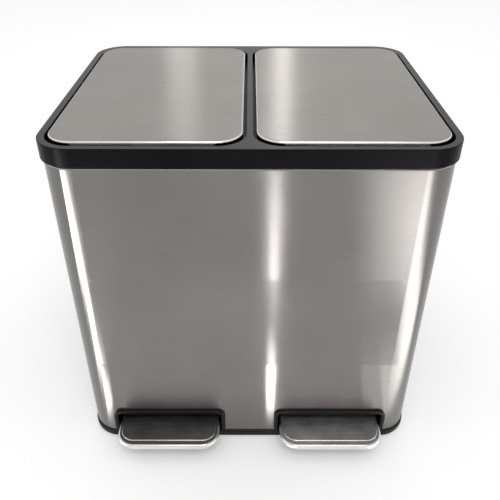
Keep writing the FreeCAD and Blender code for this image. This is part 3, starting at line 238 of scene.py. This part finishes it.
def mixed_colour(tree, value, first, second):
    """A colour between two, each a socket or a fixed colour."""
    node = add_node(tree, "ShaderNodeMix", data_type="RGBA")
    tree.links.new(value, node.inputs["Factor"])
    ends = [socket for socket in node.inputs if socket.type == "RGBA"]
    for socket, colour in zip(ends, (first, second)):
        if isinstance(colour, tuple):
            socket.default_value = colour
        else:
            tree.links.new(colour, socket)
    return next(socket for socket in node.outputs if socket.type == "RGBA")


def raised(tree, height, distance, under=None):
    """A bump of a real height, laid over another one if there is one."""
    bump = add_node(tree, "ShaderNodeBump")
    bump.inputs["Distance"].default_value = distance
    tree.links.new(height, bump.inputs["Height"])
    if under:
        tree.links.new(under, bump.inputs["Normal"])
    return bump.outputs["Normal"]


def facing(tree, axis, from_low, from_high):
    """How far the piece's own surface faces along an axis, as a value from 0 to 1."""
    place = add_node(tree, "ShaderNodeTexCoord")
    parts = add_node(tree, "ShaderNodeSeparateXYZ")
    tree.links.new(place.outputs["Normal"], parts.inputs["Vector"])
    return spread(tree, parts.outputs[axis], 0, 1, from_low, from_high)


def brushed_steel(name, dark, light, grain, rough, across, anisotropy, wave=0.0, shift=(0, 0, 0),
                  smudge=SMUDGE_SCALE):
    """Steel with fine brush lines and faint smudges. Grain is the stretch that draws the lines out,
    and across is the direction, square to the lines, in which light spreads."""
    material, tree, steel = new_material(name)
    lines = object_noise(tree, grain, GRAIN_SCALE, detail=6.0, roughness=0.7, shift=shift)
    smudges = object_noise(tree, EVEN, smudge, detail=4.0, roughness=0.6, shift=shift)
    tone = arithmetic(tree, "ADD", spread(tree, lines, 0.0, HALF_TONE), spread(tree, smudges, 0.0, HALF_TONE))
    tree.links.new(mixed_colour(tree, tone, dark, light), steel.inputs["Base Color"])
    brushed_rough = spread(tree, lines, *rough)
    smudge_rough = spread(tree, smudges, 0.0, SMUDGE_ROUGH)
    tree.links.new(arithmetic(tree, "ADD", brushed_rough, smudge_rough), steel.inputs["Roughness"])
    steel.inputs["Metallic"].default_value = 1.0
    steel.inputs["Anisotropic"].default_value = anisotropy
    direction = add_node(tree, "ShaderNodeCombineXYZ")
    for axis, value in zip("XYZ", across):
        direction.inputs[axis].default_value = value
    turned = add_node(tree, "ShaderNodeVectorTransform", vector_type="VECTOR",
                      convert_from="OBJECT", convert_to="WORLD")
    tree.links.new(direction.outputs["Vector"], turned.inputs["Vector"])
    tree.links.new(turned.outputs["Vector"], steel.inputs["Tangent"])
    waves = None
    if wave:
        ripple = object_noise(tree, EVEN, WAVE_SCALE, detail=1.0, roughness=0.4, shift=shift)
        waves = raised(tree, ripple, wave)
    tree.links.new(raised(tree, lines, BRUSH_DEPTH, waves), steel.inputs["Normal"])
    return material


def blend_in(material, colour, share):
    """Mixes a colour into a finish by a share, which is a socket among its own nodes."""
    tree = material.node_tree
    base = tree.nodes["Principled BSDF"].inputs["Base Color"]
    tree.links.new(mixed_colour(tree, share, base.links[0].from_socket, colour), base)


def dress(node, material):
    """Gives a CAD node its finish."""
    mesh = nodes[node].data
    mesh.materials.clear()
    mesh.materials.append(material)


shell_steel = brushed_steel("shell_brushed_steel", SHELL_STEEL, SHELL_STEEL_LIGHT, SHELL_GRAIN, SHELL_ROUGH,
                            UPRIGHT, SHELL_ANISOTROPY, SHELL_WAVE)
# The curled top and foot edges are painted the lighter steel: a painted highlight.
blend_in(shell_steel, SHELL_CURL_PAINTED_HIGHLIGHT, facing(shell_steel.node_tree, "Z", *TOP_CURL_HIGHLIGHT_FACING))
blend_in(shell_steel, SHELL_CURL_PAINTED_HIGHLIGHT, facing(shell_steel.node_tree, "Z", *FOOT_CURL_HIGHLIGHT_FACING))
dress("body_shell", shell_steel)


# ---- Top collar
# The black moulded rim that closes the shell, with the bar between the two lids. Its top face is
# painted a lighter grey than its dark upright side, a painted sheen; its fine grain is the same all over.
COLLAR_SIDE = (0.0018, 0.0018, 0.0028, 1)
COLLAR_TOP_PAINTED_SHEEN = (0.063, 0.062, 0.062, 1)
COLLAR_SHEEN_FACING = (0.75, 0.98)
FINE_GRAIN = 900.0
BROAD_CLOUD = 14.0
GRAIN_DEPTH = 0.00002
GLOSS_CHANGE = 0.05
CLOUD_LIGHTER, CLOUD_LEAST = 1.25, 0.001


def moulded(name, colour, rough, specular, grain=FINE_GRAIN, cloudy=None):
    """Moulded plastic or rubber with a fine grain in its gloss, and a slightly uneven colour."""
    material, tree, plastic = new_material(name)
    fine = object_noise(tree, EVEN, grain, detail=2.0, roughness=0.5)
    broad = object_noise(tree, EVEN, BROAD_CLOUD, detail=3.0, roughness=0.5)
    lighter = cloudy or tuple(channel * CLOUD_LIGHTER + CLOUD_LEAST for channel in colour[:3]) + (1,)
    uneven_colour = mixed_colour(tree, spread(tree, broad, 0, 1), colour, lighter)
    tree.links.new(uneven_colour, plastic.inputs["Base Color"])
    uneven_gloss = spread(tree, fine, rough - GLOSS_CHANGE, rough + GLOSS_CHANGE)
    tree.links.new(uneven_gloss, plastic.inputs["Roughness"])
    plastic.inputs["Specular IOR Level"].default_value = specular
    tree.links.new(raised(tree, fine, GRAIN_DEPTH), plastic.inputs["Normal"])
    return material


rim_black = moulded("rim_black", COLLAR_SIDE, rough=0.32, specular=0.06)
# The top face is painted lighter grey than the side: a painted sheen.
blend_in(rim_black, COLLAR_TOP_PAINTED_SHEEN, facing(rim_black.node_tree, "Z", *COLLAR_SHEEN_FACING))
dress("top_collar", rim_black)


# ---- Lids
# A stainless skin folded down round a moulded liner on each side, brushed from front to back so
# that light draws out that way. The liner carries two hinge arms, two ears for the crank pin, and
# rubber pads at its front.
LID_STEEL = (0.275, 0.259, 0.244, 1)
LID_STEEL_LIGHT = (0.355, 0.334, 0.316, 1)
# A painted highlight for the fold round the lid's edges, and how far it reaches from the flat top.
LID_FOLD_PAINTED_HIGHLIGHT = (0.82, 0.80, 0.78, 1)
LID_FOLD_HIGHLIGHT_FACING = (0.95, 0.75)
LID_ANISOTROPY = 0.97
LID_GRAIN = (0.25, 18.0, 18.0)
LID_ROUGH = (0.26, 0.33)
FRONT_TO_BACK = (0, 1, 0)
LID_WAVE = 0.0008
LINER_BLACK = (0.016, 0.016, 0.017, 1)
RUBBER_BLACK = (0.015, 0.015, 0.015, 1)
liner_black = moulded("liner_black", LINER_BLACK, rough=0.5, specular=0.3)
rubber = moulded("black_rubber", RUBBER_BLACK, rough=0.7, specular=0.3, grain=500.0)
for side, shift in (("left", (0, 0, 0)), ("right", (3.1, 1.7, 0))):
    lid_steel = brushed_steel("lid_brushed_steel_" + side, LID_STEEL, LID_STEEL_LIGHT, LID_GRAIN, LID_ROUGH,
                              FRONT_TO_BACK, LID_ANISOTROPY, LID_WAVE, shift)
    # The fold round the skin's edges is painted a much lighter steel: a painted highlight.
    blend_in(lid_steel, LID_FOLD_PAINTED_HIGHLIGHT, facing(lid_steel.node_tree, "Z", *LID_FOLD_HIGHLIGHT_FACING))
    dress("lid_panel_" + side, lid_steel)
    dress("lid_liner_" + side, liner_black)
    dress("lid_pads_" + side, rubber)


# ---- Base tray, deck and feet
# The black moulding under the steel, with a convex band round it, the deck over the levers, and
# four rubber feet. The screws that hold them are zinc-plated.
BASE_BLACK = (0.0050, 0.0050, 0.0062, 1)
DECK_BLACK = (0.020, 0.020, 0.021, 1)
ZINC_DARK = (0.42, 0.43, 0.44, 1)
ZINC_LIGHT = (0.58, 0.58, 0.57, 1)
CLOUD_SCALE = 160.0
PLATE_SMOOTHER, PLATE_ROUGHER = 0.06, 0.08
dress("base_tray", moulded("base_black", BASE_BLACK, rough=0.36, specular=0.16))
dress("deck", moulded("deck_black", DECK_BLACK, rough=0.5, specular=0.3))
dress("feet", rubber)


def plated(name, dark, light, rough):
    """Bright metal with a slightly cloudy plating."""
    material, tree, metal = new_material(name)
    cloud = object_noise(tree, EVEN, CLOUD_SCALE, detail=4.0, roughness=0.6)
    tree.links.new(mixed_colour(tree, spread(tree, cloud, 0, 1), dark, light), metal.inputs["Base Color"])
    cloudy_gloss = spread(tree, cloud, rough - PLATE_SMOOTHER, rough + PLATE_ROUGHER)
    tree.links.new(cloudy_gloss, metal.inputs["Roughness"])
    metal.inputs["Metallic"].default_value = 1.0
    return material


zinc = plated("zinc_plate", ZINC_DARK, ZINC_LIGHT, rough=0.34)
for name in ("base_screws", "deck_screws", "collar_screws"):
    dress(name, zinc)


# ---- Pedal surrounds
# Black moulded frames, each an upside-down U, that trim the cut edge of the steel round a pedal's
# opening. A sleeve behind each one reaches in past the sheet.
SURROUND_BLACK = (0.0045, 0.0045, 0.0055, 1)
surround_black = moulded("surround_black", SURROUND_BLACK, rough=0.34, specular=0.14)
for side in ("left", "right"):
    dress("pedal_surround_" + side, surround_black)


# ---- Pedals
# Stainless pressings with a polished rolled edge and a raised tread, each screwed over a moulded
# core. The rolled edge is painted much lighter than the tread, a painted highlight. The left tread is
# painted darker than the right, a painted reflection of something dark, and both carry faint smudges.
# Each has its dark and light colour, and where its grain is read.
PEDAL_LOOKS_LEFT_PAINTED_DARK = {"left": ((0.080, 0.076, 0.076, 1), (0.175, 0.166, 0.164, 1), (0, 0, 0)),
               "right": ((0.190, 0.184, 0.187, 1), (0.380, 0.370, 0.368, 1), (2.3, 0.9, 0))}
# Painted highlight: the much lighter colours laid on the rolled edge where the pressing turns from flat.
PEDAL_EDGE_PAINTED_HIGHLIGHT = (0.55, 0.52, 0.50, 1)
PEDAL_EDGE_PAINTED_HIGHLIGHT_BRIGHT = (0.78, 0.75, 0.72, 1)
PEDAL_EDGE_POLISH_AND_HIGHLIGHT_FACING = (0.999, 0.90)
PEDAL_EDGE_HIGHLIGHT_CLOUD = 40.0
PEDAL_EDGE_POLISH = 0.20       # how much smoother the rolled edge is than the tread
PEDAL_ANISOTROPY = 0.6
PEDAL_GRAIN = (0.4, 12.0, 12.0)
PEDAL_SMUDGE = 55.0
PEDAL_ROUGH = (0.36, 0.44)
CORE_BLACK = (0.008, 0.008, 0.009, 1)
core_black = moulded("core_black", CORE_BLACK, rough=0.45, specular=0.3)
for side, (dark, light, shift) in PEDAL_LOOKS_LEFT_PAINTED_DARK.items():
    pedal_steel = brushed_steel("pedal_steel_" + side, dark, light, PEDAL_GRAIN, PEDAL_ROUGH, FRONT_TO_BACK,
                                PEDAL_ANISOTROPY, shift=shift, smudge=PEDAL_SMUDGE)
    tree = pedal_steel.node_tree
    edge = facing(tree, "Z", *PEDAL_EDGE_POLISH_AND_HIGHLIGHT_FACING)
    edge_highlight_cloud = object_noise(tree, EVEN, PEDAL_EDGE_HIGHLIGHT_CLOUD, detail=3.0, roughness=0.5)
    painted_edge_highlight = mixed_colour(tree, edge_highlight_cloud, PEDAL_EDGE_PAINTED_HIGHLIGHT, PEDAL_EDGE_PAINTED_HIGHLIGHT_BRIGHT)
    # The rolled edge is painted much lighter, a painted highlight; below it is also made smoother.
    blend_in(pedal_steel, painted_edge_highlight, edge)
    rough = tree.nodes["Principled BSDF"].inputs["Roughness"]
    tree.links.new(arithmetic(tree, "SUBTRACT", rough.links[0].from_socket,
                              arithmetic(tree, "MULTIPLY", edge, PEDAL_EDGE_POLISH)), rough)
    dress("pedal_" + side, pedal_steel)
    dress("pedal_core_" + side, core_black)
    dress("pedal_screws_" + side, zinc)


# ---- Levers, axles and push rods
# Plated strip and bar inside the base and behind the buckets, with turned pins, pale bushes and a
# small grey damper on each side.
TURNED_DARK, TURNED_LIGHT = (0.50, 0.50, 0.50, 1), (0.64, 0.64, 0.63, 1)
BUSH_WHITE, BUSH_CLOUD = (0.62, 0.61, 0.57, 1), (0.56, 0.55, 0.51, 1)
DAMPER_GREY = (0.050, 0.050, 0.055, 1)
TURNED_PIECES = ("lever_axle_", "axle_clips_", "rod_foot_pin_", "damper_rod_", "lid_hinge_pin_", "crank_pin_")
turned_steel = plated("turned_steel", TURNED_DARK, TURNED_LIGHT, rough=0.26)
bush_white = moulded("bush_white", BUSH_WHITE, rough=0.45, specular=0.5, cloudy=BUSH_CLOUD)
channel_black = moulded("channel_black", DECK_BLACK, rough=0.5, specular=0.3)
damper_grey = moulded("damper_grey", DAMPER_GREY, rough=0.4, specular=0.4)
for side in ("left", "right"):
    for name in ("pedal_lever_", "push_rod_"):
        dress(name + side, zinc)
    for name in TURNED_PIECES:
        dress(name + side, turned_steel)
    dress("lever_bushes_" + side, bush_white)
    dress("rod_channel_" + side, channel_black)
    dress("damper_body_" + side, damper_grey)


# ---- Inner buckets and their handles
# Tapered dark grey buckets that hang by a flange on the collar's ledge, each with a wire handle
# that lies on the flange.
BUCKET_GREY = (0.070, 0.071, 0.075, 1)
WIRE_DARK, WIRE_LIGHT = (0.52, 0.52, 0.52, 1), (0.66, 0.66, 0.65, 1)
bucket_grey = moulded("bucket_grey", BUCKET_GREY, rough=0.48, specular=0.4)
wire = plated("bright_wire", WIRE_DARK, WIRE_LIGHT, rough=0.2)
for side in ("left", "right"):
    dress("bucket_" + side, bucket_grey)
    dress("bucket_handle_" + side, wire)
